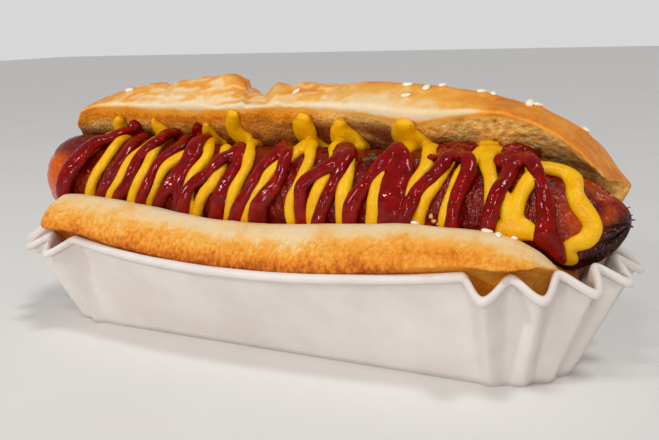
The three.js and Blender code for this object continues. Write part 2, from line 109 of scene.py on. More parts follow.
# Routes of the sauces: x, the distance up over the sausage from halfway up its near side, and how wide
MUSTARD_ROUTES = (
    ((-71, -5), (-69, -1), (-66, 4), (-63, 10), (-61, 15), (-61, 24), (-61.2, 33, 1.1), (-59.4, 35.6, 0.8)),
    ((-60, 34), (-59, 28), (-55, 16), (-55, 9), (-57, 5), (-59, 0), (-60, -5)),
    ((-53, -5), (-52, -1), (-48, 4), (-46, 10), (-43.5, 14), (-43.6, 20, 1.1), (-44.6, 27, 1.6), (-45.8, 31, 1.7),
     (-46.6, 34, 1.1), (-46.7, 35.8, 0.5)),
    ((-44, 30, 1.2), (-43, 26), (-41, 18), (-40, 11), (-40, 7), (-42, 3), (-44, -1), (-45, -5)),
    ((-40, -5), (-39, -2), (-36, 3), (-34, 8), (-31, 11), (-27.5, 15), (-26.8, 20, 1.2), (-28.5, 28, 1.4),
     (-29.6, 31.8, 1.2), (-28.8, 34.6, 0.5)),
    ((-28, 29), (-26.8, 28, 0.7), (-25.2, 27.6, 0.3)),
    ((-27.5, 22, 1.1), (-25, 18), (-22.5, 14), (-22, 11), (-24, 7), (-25, 3), (-25, -5)),
    ((-24, -6), (-23, -4), (-20, 2), (-17, 5), (-16, 11), (-18, 16, 1.1)),
    ((-18.3, 38.2, 1.1), (-19.6, 35.2, 1.5), (-20, 32, 1.9), (-18.2, 29.4, 1.9), (-15, 26, 1.5),
     (-12.4, 19, 1.05), (-9, 13), (-8, 9), (-9.5, 5), (-11, 1), (-13, -5)),
    ((-17, 28.4), (-15.6, 27.6, 0.7), (-13.8, 27.4, 0.3)),
    ((-8, -6, 1.3), (-5, 0, 1.2), (-2, 4, 1.15), (-0.5, 8), (3, 12), (4.6, 17, 1.1), (3.8, 24, 1.2),
     (2.6, 28.5, 1.5), (2, 32, 2.1), (2.4, 35, 2), (3.2, 37, 1.3)),
    ((3.4, 29, 1.3), (5.6, 27.8, 0.8), (8, 27.2, 0.3)),
    ((3.6, 25, 1.3), (7, 17.5, 1.1), (9.6, 12.5), (9, 6), (7, 1), (7, -5)),
    ((13, -5, 1.2), (13, -1, 1.2), (14, 3, 1.1), (15, 6), (17, 12), (13.8, 18), (12, 26, 1.1), (11.4, 30, 1.4),
     (12.4, 33, 1.5), (13.6, 35.6, 1.2)),
    ((13.6, 34.4, 1.2), (14.8, 32, 1.7), (16.2, 29.6, 1.8), (17.8, 27, 1.5), (18.8, 23)),
    ((20.5, 13), (21.4, 8, 1.25), (21.4, 3, 1.2), (21, -5, 0.9)),
    ((29, -5, 1.25), (30, 3, 1.2), (30, 7, 1.1), (31.4, 11), (33, 16, 1.1), (32.2, 24, 1.4), (31.2, 30, 2),
     (31.4, 34, 2.3), (32.2, 37, 1.7)),
    ((32.6, 33, 2.1), (36, 28.6, 1.9), (39.6, 18.6, 1.2), (41, 13), (40.6, 10), (39, 6), (39, -5)),
    ((41, -5), (41, -1), (42, 3), (43, 5), (45, 9), (46, 14)),
    ((48, -5, 1.2), (48, 1, 1.2), (49, 5, 1.1), (49.4, 8), (50.4, 12), (51.8, 16, 1.2), (52.4, 22, 1.5)),
    ((48.6, 28.4, 1.1), (51, 29.4, 1.6), (53.4, 27.6, 1.9), (54, 21, 1.8), (55, 14.4, 1.3), (56.5, 11.2),
     (57.8, 8), (58.2, 3), (58, -5)),
    ((66.8, 14.9), (65.8, 10.6, 1.2), (64.8, 8, 1.25), (64.1, 5.3, 1.25), (63.9, 2.8, 1.3), (63.6, 0.2, 1.3)),
    ((60.8, 6.4, 0.8), (61.4, 3.8), (62.2, 1, 1.1), (62.6, -1.4, 1.2)),
    ((59.6, -2.4), (61.6, -1.4, 1.6), (64, -0.8, 1.9), (66.4, -0.8, 1.6), (68.2, -1.6, 1.1)),
    ((65.2, 14.4, 1.2), (68.4, 15.8, 1.25), (70.8, 17, 1.2), (73, 17.2, 1.2), (74.6, 14.8, 1.25), (75, 11.5, 1.3),
     (76.1, 8.8, 1.3), (77.6, 6.5, 1.3), (78.9, 4.2, 1.3), (79.5, 1.3, 1.35), (78.9, -1.8, 1.3), (77.2, -3.4, 1.2),
     (75.2, -3.4), (74.2, -4.8), (74.3, -6.6, 1.3), (74.6, -8, 1.4)),
)
KETCHUP_ROUTES = (
    ((-69, -5, 1.3), (-68, -1, 1.4), (-66, 4, 1.5), (-63, 8, 1.5), (-60, 14, 1.4), (-57, 19, 1.4),
     (-56.6, 26, 1.7), (-56.2, 30.4, 1.8), (-54.8, 33.4, 1.2)),
    ((-56, 32, 1.1), (-52.6, 27), (-50, 18), (-49, 10), (-51, 4), (-54, 0), (-56, -5)),
    ((-50, -5), (-49, -1), (-45, 3), (-44, 8), (-43, 11), (-40, 16), (-42, 25, 1.3), (-41, 31, 1.2)),
    ((-41, 30), (-37, 24), (-33, 16), (-36, 9), (-37, 4), (-40, -1), (-42, -5)),
    ((-36, -5), (-35, -2), (-32, 2), (-30, 6), (-28, 10), (-27.4, 15), (-31, 24, 1.4), (-33, 29, 1.7),
     (-32.6, 32, 1.4), (-31.8, 34.4, 0.7)),
    ((-32, 32), (-29, 23), (-26, 14), (-27, 7), (-28, 2), (-29, -5)),
    ((-27, -5, 1.2), (-26, -2, 1.2), (-24, 3), (-21, 6), (-17, 9), (-14.5, 12.4), (-13.4, 15.6, 1.3)),
    ((-13.4, 15.8, 1.3), (-11.4, 12.6), (-12, 8), (-14, 3, 1.2), (-17, -5, 1.5)),
    ((-11, -6, 1.4), (-10, -4, 1.3), (-7, 1, 1.1), (-4, 5), (-2.4, 11), (-0.6, 14, 1.3), (-0.2, 17.4, 1.3)),
    ((0, 16.6, 1.2), (2.4, 14.6), (3.6, 12), (3.4, 9), (2, 5, 1.3), (-2, 0, 1.6), (-4, -5, 1.8)),
    ((10, -5), (10, 1), (10, 5), (12, 7.4), (16.4, 9.6), (18.4, 12.4, 1.2), (17.4, 16.4, 1.5)),
    ((17.6, 16.6, 1.5), (20, 14.6, 1.3), (20.6, 11.6), (19, 7), (17, 3), (14, -5)),
    ((23, -5, 1.2), (24, 2, 1.3), (26, 5, 1.2), (28, 8), (30.6, 12, 1.1), (32, 15.4, 1.3)),
    ((32.4, 15.8, 1.2), (34.6, 13, 1.7), (34.8, 9, 2.1), (34.4, 4, 2.2), (34.2, -5, 2.2)),
    ((38, -5), (38, -1), (40, 3), (41, 6), (44, 9), (46, 12, 1.2), (45, 16, 1.2)),
    ((46, 17), (49, 15.4, 1.2), (52, 12, 1.1), (51.4, 8), (50.4, 4), (49, -5)),
    ((57.6, -5), (58, -1), (59, 3), (60, 7), (61, 11, 1.1), (60.6, 15, 1.3)),
    ((62, 17, 1.3), (65.4, 14.4, 1.1), (67.4, 11.8), (68.9, 8.9), (69.7, 6.4, 1.1), (70.2, 3.9, 1.2),
     (70.6, 1.8, 1.3), (70.2, 0, 1.4), (69.6, -1.4, 1.6), (71.2, -2.8, 1.7), (72.6, -4.4, 1.2), (73.8, -6.8, 0.6)),
)
# Rough heaps of ketchup: the stretch of x, the stretch up over the sausage, how many lumps and the seed
KETCHUP_HEAPS = (
    ((41.5, 49.5), (13.5, 29), 34, 3), ((57.8, 64), (14, 29), 26, 8), ((16, 19), (14, 17.5), 5, 5),
    ((-1.5, 1), (14, 17.5), 4, 11), ((71, 73.5), (-7, -2), 5, 12), ((49, 50), (-3, 0), 3, 13),
    ((-43, -41), (22, 29), 5, 14), ((-14.5, -12.5), (14, 17), 4, 15), ((31.5, 34), (13, 17), 4, 16),
)
ROUTE_STEP = 0.6
MUSTARD_WIDTH = 1.6
KETCHUP_WIDTH = 1.75
HEAP_LIFT = 0.8
BIT_LIFT = 1.3

# A sesame seed's half length, half width and half thickness, and how far it stands off the crust
SEED = (1.45, 0.88, 0.5)
SEED_LIFT = 0.2
# Seeds: x, and the angle round the far half's middle, from straight up towards the back
SEEDS_IN_FRONT = (
    (-59.7, -20), (-1.5, -24), (29, -14), (34.4, -16), (30.6, -27), (37.9, -11), (48.2, -13),
    (51, -13), (60, -14), (62, -13), (72.8, -10),
)
# Seeds on the near half: x and y
NEAR_SEED_PLACES = ((41, -17), (58.5, -18.5), (61.5, -20), (64.5, -18))
# Bits on the sauces: x and the distance up over the sausage
RELISH_PLACES = ((25.4, 12.8), (27, 13.4), (26, 14.6), (-31.5, 15.3), (-46.5, 1.6))
CRUMB_PLACES = ((45.3, -0.4), (46.5, -1.0), (47.6, -1.2), (44.6, 0.6), (-12, 0.5), (18, 29))
# Seeds behind: how many, from what x to what x, and between what angles
SEEDS_BEHIND = (16, (-60, 70), (20, 75))

FLOOR_REACH = 2500


# ------ numbers and noise

def outline(points):
    """A smooth function through a few chosen points, read by their first coordinate."""
    at = np.array([p[0] for p in points], float)
    value = np.array([p[1] for p in points], float)
    before = np.maximum(np.arange(len(at)) - 1, 0)
    after = np.minimum(np.arange(len(at)) + 1, len(at) - 1)
    slope = (value[after] - value[before]) / (at[after] - at[before])

    def read(x):
        x = np.asarray(x, float)
        i = np.clip(np.searchsorted(at, x, side="right") - 1, 0, len(at) - 2)
        span = at[i + 1] - at[i]
        u = np.clip((x - at[i]) / span, 0, 1)
        rise = u * u * (3 - 2 * u)
        leaving = u * (1 - u) ** 2 * span * slope[i]
        arriving = -u * u * (1 - u) * span * slope[i + 1]
        return value[i] + (value[i + 1] - value[i]) * rise + leaving + arriving

    return read


lip_height = outline(LIP_HEIGHT)
crest_height = outline(CREST_HEIGHT)


def xyz(*parts):
    """Points from their coordinates."""
    return np.stack(np.broadcast_arrays(*parts), axis=-1)


def bump(x, middle, width):
    return np.exp(-(((x - middle) / width) ** 2))


def ease(low, high, value):
    """0 at low, 1 at high and smooth between. Low may be the greater."""
    t = np.clip((value - low) / (high - low), 0, 1)
    return t * t * (3 - 2 * t)


def lattice(cells, seed):
    """Numbers from 0 to 1 that belong to whole-number places."""
    k = cells.astype(np.int64)
    mixed = k[..., 0] * 73856093 ^ k[..., 1] * 19349663 ^ k[..., 2] * 83492791 ^ (seed * 2654435761)
    mixed = (mixed ^ (mixed >> 13)) * 1274126177 & 0x7FFFFFFF
    mixed = (mixed ^ (mixed >> 15)) * 668265263 & 0x7FFFFFFF
    return (mixed ^ (mixed >> 12)) % 100003 / 100003.0


def waves(points, size, seed, stretch=(1, 1, 1)):
    """Smooth noise from -1 to 1 whose lumps are about size across."""
    p = np.asarray(points, float) / (np.array(stretch) * size)
    cell = np.floor(p)
    part = p - cell
    part = part * part * (3 - 2 * part)
    total = 0
    for corner in np.ndindex(2, 2, 2):
        share = np.prod(np.where(np.array(corner), part, 1 - part), axis=-1)
        total = total + share * lattice(cell + np.array(corner), seed)
    return total * 2 - 1


def rough(points, size, seed, stretch=(1, 1, 1)):
    """Noise with finer noise on it."""
    total = 0
    for layer in range(3):
        total = total + waves(points, size / 2 ** layer, seed + layer, stretch) / 2 ** layer
    return total / 1.75


def pits(points, size, seed):
    """1 in the middle of scattered round pits and 0 between them."""
    p = np.asarray(points, float) / size
    cell = np.floor(p)
    nearest = np.full(p.shape[:-1], 9.0)
    for step in np.ndindex(3, 3, 3):
        home = cell + np.array(step) - 1
        spot = home + xyz(*(lattice(home, seed + i) for i in range(3)))
        nearest = np.minimum(nearest, norm(p - spot, axis=-1))
    return np.clip(1 - nearest / 0.5, 0, 1)


def repeatable(seed):
    """Numbers from 0 to 1 that are the same on every run."""
    state = seed
    while True:
        state = (state * 1664525 + 1013904223) % 4294967296
        yield state / 4294967296


# ------ meshes

def new_object(name, data):
    """An object in the scene that holds a mesh, a light or a camera."""
    thing = bpy.data.objects.new(name, data)
    bpy.context.scene.collection.objects.link(thing)
    return thing


def new_piece(name, points, faces):
    """An object with its place in its mesh. Points are in millimetres."""
    mesh = bpy.data.meshes.new(name)
    mesh.from_pydata([tuple(p) for p in np.asarray(points) * MM], [], faces)
    mesh.validate()
    return new_object(name, mesh)


def turned_out(piece):
    """Merges doubles and turns every face outward."""
    shape = bmesh.new()
    shape.from_mesh(piece.data)
    bmesh.ops.remove_doubles(shape, verts=shape.verts, dist=1e-6)
    bmesh.ops.recalc_face_normals(shape, faces=shape.faces)
    shape.to_mesh(piece.data)
    shape.free()
    return piece


def baked(piece):
    """The piece with its modifiers' result as a plain mesh."""
    bpy.context.view_layer.update()
    seen = piece.evaluated_get(bpy.context.evaluated_depsgraph_get())
    mesh = bpy.data.meshes.new_from_object(seen)
    piece.modifiers.clear()
    old = piece.data
    piece.data = mesh
    bpy.data.meshes.remove(old)
    mesh.name = piece.name
    return piece


def remeshed(piece, voxel, smoothing, strength):
    """One even skin round the piece, smoothed."""
    grid = piece.modifiers.new("skin", "REMESH")
    grid.mode = "VOXEL"
    grid.voxel_size = voxel * MM
    smooth = piece.modifiers.new("smooth", "SMOOTH")
    smooth.factor = strength
    smooth.iterations = smoothing
    return baked(piece)


def read_mesh(piece):
    """Places in millimetres and normals of a mesh."""
    mesh = piece.data
    place = np.zeros(len(mesh.vertices) * 3)
    mesh.vertices.foreach_get("co", place)
    normal = np.zeros(len(mesh.vertices) * 3, np.float32)
    mesh.vertex_normals.foreach_get("vector", normal)
    return place.reshape(-1, 3) / MM, normal.reshape(-1, 3).astype(float)


def write_mesh(piece, place):
    piece.data.vertices.foreach_set("co", (np.asarray(place) * MM).astype(np.float32).ravel())
    piece.data.update()


def keep(piece, **fields):
    """Stores numbers or vectors on a piece's points, for its nodes."""
    for name, values in fields.items():
        values = np.array(values, np.float32)
        kind, part = ("FLOAT", "value") if values.ndim == 1 else ("FLOAT_VECTOR", "vector")
        piece.data.attributes.new(name, kind, "POINT").data.foreach_set(part, values.ravel())


def keep_shares(piece, **fields):
    """Stores numbers from 0 to 1 on a piece's points, for its material."""
    keep(piece, **{name: np.clip(values, 0, 1) for name, values in fields.items()})


def finish_piece(piece, material, slot, *nodes):
    """Shades a piece smoothly, gives it its material, hangs it under the root body and hides the solids that it
    stands for.
    """
    piece.data.shade_smooth()
    piece.data.materials.clear()
    piece.data.materials.append(material)
    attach(piece, "root")
    if nodes:
        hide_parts(*nodes)
    return piece


class Skin:
    """Gathers closed lofts that are made one mesh."""

    def __init__(self):
        self.points = []
        self.faces = []

    def loft(self, rings):
        count = len(rings[0])
        first = len(self.points)
        for ring in rings:
            self.points.extend(ring)
        for r in range(len(rings) - 1):
            for i in range(count):
                a = first + r * count + i
                b = first + r * count + (i + 1) % count
                self.faces.append((a, b, b + count, a + count))
        last = first + (len(rings) - 1) * count
        for ring, start, turned in ((rings[0], first, True), (rings[-1], last, False)):
            hub = len(self.points)
            self.points.append(np.mean(ring, axis=0))
            for i in range(count):
                a, b = start + i, start + (i + 1) % count
                self.faces.append((hub, b, a) if turned else (hub, a, b))

    def piece(self, name):
        return turned_out(new_piece(name, self.points, self.faces))


# ------ nodes

def both_ways(operation):
    """An operator that adds a Math node, and its reflected form."""
    return (
        lambda self, other: self.maths(operation, self, other),
        lambda self, other: self.maths(operation, other, self),
    )


class Link:
    """A node's output that takes part in sums as a number does."""

    def __init__(self, tree, socket):
        self.tree = tree
        self.socket = socket

    def maths(self, operation, *others):
        return put(self.tree, "ShaderNodeMath", {"operation": operation}, dict(enumerate(others)))

    __add__, __radd__ = both_ways("ADD")
    __sub__, __rsub__ = both_ways("SUBTRACT")
    __mul__, __rmul__ = both_ways("MULTIPLY")
    __truediv__, __rtruediv__ = both_ways("DIVIDE")

    def within(self, low, high):
        """0 below low, 1 above high and smooth between."""
        settings = {"interpolation_type": "SMOOTHSTEP"}
        return put(self.tree, "ShaderNodeMapRange", settings, {"Value": self, "From Min": low, "From Max": high})


def put(tree, kind, settings=None, sockets=None, output=0):
    """Adds a node, its settings first and then its sockets' values or links, and gives one of its outputs."""
    node = tree.nodes.new(kind)
    for name, value in (settings or {}).items():
        if name == "stops":
            ramp = node.color_ramp
            while len(ramp.elements) < len(value):
                ramp.elements.new(0.5)
            for element, (position, colour) in zip(ramp.elements, value):
                element.position = position
                element.color = (*colour, 1)
        else:
            setattr(node, name, value)
    for name, value in (sockets or {}).items():
        if isinstance(value, Link):
            tree.links.new(value.socket, node.inputs[name])
        else:
            node.inputs[name].default_value = value
    return Link(tree, node.outputs[output]) if node.outputs else None


def srgb(red, green, blue):
    """A colour as it is seen, from 0 to 255, in the numbers that shaders use."""
    return tuple(c / 12.92 if c <= 0.04045 else ((c + 0.055) / 1.055) ** 2.4
                 for c in (red / 255, green / 255, blue / 255))


class Finish:
    """One material, built from a few kinds of steps."""

    def __init__(self, name):
        self.material = bpy.data.materials.new(name)
        self.material.use_nodes = True
        self.tree = self.material.node_tree
        self.tree.nodes.clear()
        self.place = self.add("TexCoord", output="Object")

    def add(self, kind, settings=None, sockets=None, output=0):
        return put(self.tree, "ShaderNode" + kind, settings, sockets, output)

    def noise(self, size, detail=3.0, roughness=0.55, scale=None):
        """Noise from 0 to 1 whose lumps are about size millimetres across."""
        place = self.place
        if scale:
            place = self.add("Mapping", {}, {"Vector": place, "Scale": scale})
        return self.add("TexNoise", {"noise_dimensions": "3D"}, {
            "Vector": place, "Scale": 1 / (size * MM), "Detail": detail, "Roughness": roughness})

    def pores(self, size):
        """Rounded cells about size millimetres across, 0 in the middle of each."""
        return self.add("TexVoronoi", {"feature": "SMOOTH_F1"}, {
            "Vector": self.place, "Scale": 1 / (size * MM), "Smoothness": 0.3})

    def field(self, name):
        """A number that was kept on the piece's points."""
        return self.add("Attribute", {"attribute_name": name}, output="Fac")

    def mix(self, share, low, high):
        """A colour between two others."""
        def rgba(colour):
            return colour if isinstance(colour, Link) else (*colour, 1)
        return self.add("Mix", {"data_type": "RGBA"}, {0: share, 6: rgba(low), 7: rgba(high)}, 2)

    def ramp(self, share, *stops):
        """A run of colours. A stop is its place from 0 to 1 and its red, green and blue from 0 to 255."""
        stops = [(stop, srgb(*colour)) for stop, *colour in stops]
        return self.add("ValToRGB", {"stops": stops}, {"Fac": share})

    def relief(self, height, depth):
        """A bump whose height runs from 0 to 1 and is depth millimetres deep."""
        return self.add("Bump", {}, {"Height": height, "Distance": depth * MM, "Strength": 1.0})

    def done(self, colour, roughness, normal=None, **plain):
        sockets = {"Base Color": colour, "Roughness": roughness, "Subsurface Scale": 1.0}
        if normal:
            sockets["Normal"] = normal
        sockets.update({name.replace("_", " "): value for name, value in plain.items()})
        shader = self.add("BsdfPrincipled", {}, sockets)
        self.add("OutputMaterial", {}, {"Surface": shader})
        return self.material


# Small bits: the clouds' size, their colours, the roughness, how much it varies, the bumps' size and depth
SMALL_FINISHES = {
    "sesame_seed": (
        0.8, ((0.25, 236, 212, 168), (0.5, 250, 240, 216), (0.8, 255, 250, 236)), 0.4, 0.15, 0.4, 0.05),
    "charred_skin": (1.0, ((0.3, 24, 9, 6), (0.7, 96, 38, 18)), 0.35, 0.2, 0.4, 0.05),
    "relish": (1.2, ((0.3, 50, 34, 8), (0.6, 96, 78, 24)), 0.25, 0.15, 0.5, 0.08),
    "loose_crumb": (0.7, ((0.3, 178, 110, 44), (0.6, 226, 176, 108)), 0.6, 0.2, 0.3, 0.05),
}


def crust_finish():
    """Baked crust, torn crumb, the stains that the sauces left, and painted shade at the cut face's foot and in
    its pores.
    """
    f = Finish("crust_and_crumb")
    names = ("gold", "crumb", "stain", "pore", "fibre", "flake", "toast")
    gold, crumb, stain, pore, fibre, flake, toast = map(f.field, names)
    blotch, fine, hair = f.noise(8, 5.0, 0.6), f.noise(1.5, 4.0), f.noise(1.0, 4.0, 0.65, (1.1, 1, 0.8))
    baking = gold + (blotch - 0.5) * 0.6 + (fine - 0.5) * 0.26 + (hair - 0.5) * fibre * 0.85
    crust = f.ramp(
        baking,
        (0.0, 236, 214, 178), (0.2, 236, 202, 146), (0.38, 238, 170, 68),
        (0.58, 230, 138, 26), (0.8, 184, 86, 8), (1.0, 110, 44, 4),
    )
    crust = f.mix(flake * 0.3, crust, srgb(244, 228, 198))
    inside = f.ramp(
        f.noise(1.0, 4.0, 0.7) * 0.6 + fine * 0.4,
        (0.32, 228, 136, 34), (0.47, 255, 194, 90), (0.62, 255, 226, 154),
    )
    inside = f.mix(toast, inside, f.ramp(fine, (0.3, 216, 116, 8), (0.7, 252, 164, 26)))
    # the pores are painted darker: painted shade in the pits
    inside = f.mix(pore * 0.6, inside, srgb(140, 70, 16))
    # sauce stains, and painted shade along the cut face's foot
    inside = f.mix(stain, inside, f.ramp(fine, (0.3, 76, 14, 3), (0.65, 140, 50, 14)))
    colour = f.mix(crumb, crust, inside)
    grain, pocks = f.noise(0.9, 4.0, 0.65), f.pores(0.9)
    height = grain * (0.35 + fibre * 0.35) + pocks * crumb * 0.7 + hair * fibre * 0.35
    return f.done(
        colour, 0.5 + crumb * 0.3 + (fine - 0.5) * 0.2, f.relief(height, 0.45),
        Subsurface_Weight=0.1, Subsurface_Radius=(0.0016, 0.001, 0.0005), Specular_IOR_Level=0.22,
    )


def sausage_finish():
    """Wet, grilled skin, orange at the blunt end and charred at the other."""
    f = Finish("grilled_sausage")
    char, pale, smear = f.field("char"), f.field("pale"), f.field("smear")
    streaks = f.noise(5, 5.0, 0.65, (0.4, 1, 1))
    fine = f.noise(0.8, 3.0, 0.6)
    skin = f.ramp(
        streaks * 0.7 + fine * 0.3,
        (0.3, 56, 6, 1), (0.45, 108, 14, 2), (0.58, 140, 30, 3), (0.75, 180, 66, 14),
    )
    skin = f.mix(smear * 0.8, skin, srgb(104, 2, 2))
    skin = f.mix(pale, skin, f.ramp(fine, (0.3, 190, 66, 0), (0.7, 238, 106, 2)))
    skin = f.mix(char, skin, f.ramp(fine, (0.3, 16, 6, 5), (0.7, 62, 22, 12)))
    wrinkles = (f.noise(2.4, 2.5, 0.5, (1.5, 1, 1)) + f.noise(0.9, 1.0) * 0.25) * (1 - pale * 0.7)
    return f.done(
        skin, 0.17 + (fine - 0.5) * 0.12 + char * 0.12, f.relief(wrinkles, 0.95),
        IOR=1.42, Specular_Tint=(1, 0.72, 0.66, 1),
    )


def mustard_finish():
    f = Finish("mustard")
    cloud = f.noise(4, 3.0)
    colour = f.ramp(cloud, (0.25, 230, 162, 0), (0.55, 240, 180, 0), (0.8, 246, 194, 6))
    bumps = f.relief(f.noise(2.2, 1.0), 0.3)
    return f.done(
        colour, 0.34 + (cloud - 0.5) * 0.15, bumps,
        Subsurface_Weight=0.3, Subsurface_Radius=(0.0024, 0.0016, 0.0003),
        IOR=1.4, Specular_Tint=(1, 0.92, 0.7, 1),
    )


def ketchup_finish():
    f = Finish("ketchup")
    cloud = f.noise(3, 3.0)
    colour = f.ramp(cloud, (0.3, 98, 0, 0), (0.55, 128, 0, 0), (0.8, 150, 3, 1))
    bumps = f.relief(f.noise(1.9, 1.0), 0.38)
    return f.done(
        colour, 0.11 + (cloud - 0.5) * 0.08, bumps,
        IOR=1.36, Specular_Tint=(1, 0.6, 0.56, 1), Coat_Weight=0.14, Coat_Roughness=0.03,
    )


def paper_finish():
    f = Finish("white_paper")
    fibre = f.noise(1.2, 4.0, 0.6)
    cloud = f.noise(14, 3.0)
    # the paper is a warm grey, darker and pinker than white paper: painted shade and a painted warm bounce light
    colour = f.mix(cloud.within(0.3, 0.7), srgb(222, 212, 205), srgb(231, 223, 217))
    bumps = f.relief(fibre * 0.25 + cloud * 0.75, 0.25)
    return f.done(colour, 0.55 + (fibre - 0.5) * 0.1, bumps, Sheen_Weight=0.05)


def small_finish(name):
    """The finish of seeds and other small bits: a clouded colour on a slightly bumpy skin."""
    cloud_size, stops, roughness, change, bump_size, depth = SMALL_FINISHES[name]
    f = Finish(name)
    cloud = f.noise(cloud_size, 3.0)
    return f.done(f.ramp(cloud, *stops), roughness + cloud * change, f.relief(f.noise(bump_size, 3.0), depth))


def floor_finish():
    f = Finish("pale_floor")
    cloud = f.noise(60, 2.0)
    colour = f.mix(cloud, srgb(228, 225, 222), srgb(234, 232, 229))
    return f.done(colour, 0.6 + (cloud - 0.5) * 0.1)


# ------ paper tray

def tray_stations():
    """Places round the tray: x on the spine, the way out, the flute's turn and how near a side's middle."""
    stations = []
    steps = FLUTES_PER_END * FLUTE_STEPS
    for end in (1, -1):
        for i in range(steps + 1):
            turn = pi * i / steps
            way = (end * sin(turn), -end * cos(turn))
            stations.append((end * BASE_STRAIGHT, way, 2 * pi * i / FLUTE_STEPS, 0.0))
        for i in range(1, SIDE_STEPS):
            x = end * BASE_STRAIGHT * (1 - 2 * i / SIDE_STEPS)
            stations.append((x, (0, end), 0.0, 1 - (x / BASE_STRAIGHT) ** 2))
    return stations


def paper_tray():
    """The tray without flutes and thickness, as a sheet with what its nodes need on its points."""
    stations = tray_stations()
    rises = [0.0] + [i / WALL_STEPS for i in range(WALL_STEPS + 1)]
    rises += [1 + i / RIM_STEPS for i in range(1, RIM_STEPS + 1)]
    points, rise_field, turn_field, out_field = [], [], [], []
    for level, rise in enumerate(rises):
        up = min(rise, 1)
        # the rim is rolled over outward
        roll = radians(RIM_TURN) * max(rise - 1, 0)
        lip_out, lip_up = RIM_ROLL * (1 - cos(roll)), RIM_ROLL * sin(roll)
        for x, (out_x, out_y), turn, middle in stations:
            radius = BASE_RADIUS + (WALL_RADIUS - BASE_RADIUS) * up + SIDE_BULGE * middle * up + lip_out
            if level == 0:
                radius -= BASE_INSET
            height = (WALL_HEIGHT + RIM_TILT * x / BASE_STRAIGHT - SIDE_SAG * middle) * up + lip_up
            points.append((x + radius * out_x, radius * out_y, height))
            rise_field.append(up if level else 0.0)
            turn_field.append(turn)
            out_field.append((out_x, out_y, 0.0))
    count = len(stations)
    faces = []
    for r in range(len(rises) - 1):
        for i in range(count):
            a, b = r * count + i, r * count + (i + 1) % count
            faces.append((a, b, b + count, a + count))
    faces.append(tuple(range(count - 1, -1, -1)))
    piece = new_piece("paper_tray_sheet", points, faces)
    keep(piece, rise=rise_field, turn=turn_field, way_out=out_field)
    return piece


def new_tree(name, values):
    """A geometry tree with inputs for a shape and each named value, and the links that come from them."""
    kinds = {float: "NodeSocketFloat", int: "NodeSocketInt", bpy.types.Object: "NodeSocketObject"}
    tree = bpy.data.node_groups.new(name, "GeometryNodeTree")
    tree.interface.new_socket("Geometry", in_out="INPUT", socket_type="NodeSocketGeometry")
    for label, value in values.items():
        tree.interface.new_socket(label, in_out="INPUT", socket_type=kinds[type(value)])
    tree.interface.new_socket("Geometry", in_out="OUTPUT", socket_type="NodeSocketGeometry")
    entry = tree.nodes.new("NodeGroupInput")
    return tree, [Link(tree, socket) for socket in entry.outputs if socket.name]


def named(tree, kind, name):
    return put(tree, "GeometryNodeInputNamedAttribute", {"data_type": kind}, {"Name": name})


def grown(piece, tree, geometry, material, values):
    """Closes a tree with Realize Instances and Set Material, runs it on a piece and keeps the result."""
    real = put(tree, "GeometryNodeRealizeInstances", {}, {"Geometry": geometry})
    dressed = put(tree, "GeometryNodeSetMaterial", {}, {"Geometry": real, "Material": material})
    put_out = tree.nodes.new("NodeGroupOutput")
    tree.links.new(dressed.socket, put_out.inputs[0])
    modifier = piece.modifiers.new(tree.name, "NODES")
    modifier.node_group = tree
    for item in tree.interface.items_tree:
        if item.in_out == "INPUT" and item.name in values:
            modifier[item.identifier] = values[item.name]
    return baked(piece)


def fluted(piece, material):
    """Folds the flutes into the tray's ends."""
    values = {
        "Flute Depth": FLUTE_DEPTH * MM, "Flute Depth At Base": FLUTE_DEPTH_AT_BASE * MM,
        "Flute Rise": FLUTE_RISE * MM, "Fold Sharpness": FOLD_SHARPNESS,
    }
    tree, (sheet, deep, base, lift, sharp) = new_tree("tray_flutes", values)
    rise, turn = named(tree, "FLOAT", "rise"), named(tree, "FLOAT", "turn")
    way_out = named(tree, "FLOAT_VECTOR", "way_out")
    wave = turn.maths("COSINE", turn) * sharp
    fold = wave.maths("ARCSINE", wave) / sharp.maths("ARCSINE", sharp)
    inward = fold * (base + (deep - base) * rise) * -1
    outward = put(tree, "ShaderNodeVectorMath", {"operation": "SCALE"}, {"Vector": way_out, "Scale": inward})
    upward = put(tree, "ShaderNodeCombineXYZ", {}, {"Z": fold * rise * lift})
    offset = put(tree, "ShaderNodeVectorMath", {"operation": "ADD"}, {0: outward, 1: upward})
    moved = put(tree, "GeometryNodeSetPosition", {}, {"Geometry": sheet, "Offset": offset})
    return grown(piece, tree, moved, material, values)


def make_tray():
    paper = paper_finish()
    tray = fluted(paper_tray(), paper)
    place, _ = read_mesh(tray)
    # folded paper is never quite even
    up = np.clip(place[:, 2] / WALL_HEIGHT, 0, 1)
    sway = 0.35 * waves(place, 19, 3) + 0.18 * waves(place, 7, 5, (1, 1, 2))
    way = place[:, :2] - np.stack([np.clip(place[:, 0], -BASE_STRAIGHT, BASE_STRAIGHT), 0 * up], axis=1)
    way /= norm(way, axis=1, keepdims=True) + 1e-9
    place[:, :2] += way * ((sway - 0.35) * up)[:, None]
    place[:, 2] += (0.25 * waves(place, 16, 9) - 0.2) * up ** 3
    write_mesh(tray, place)
    wall = tray.modifiers.new("paper", "SOLIDIFY")
    wall.thickness = PAPER_THICKNESS * MM
    wall.offset = -1
    baked(tray)
    finish_piece(tray, paper, "paper_tray", "paper_tray")


# ------ roll

def roll_copy():
    """The roll's solid as a free mesh."""
    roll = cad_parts["roll"].copy()
    roll.data = roll.data.copy()
    roll.name = "roll_bread"
    roll.parent = None
    for key in list(roll.keys()):
        del roll[key]
    bpy.context.scene.collection.objects.link(roll)
    return turned_out(roll)


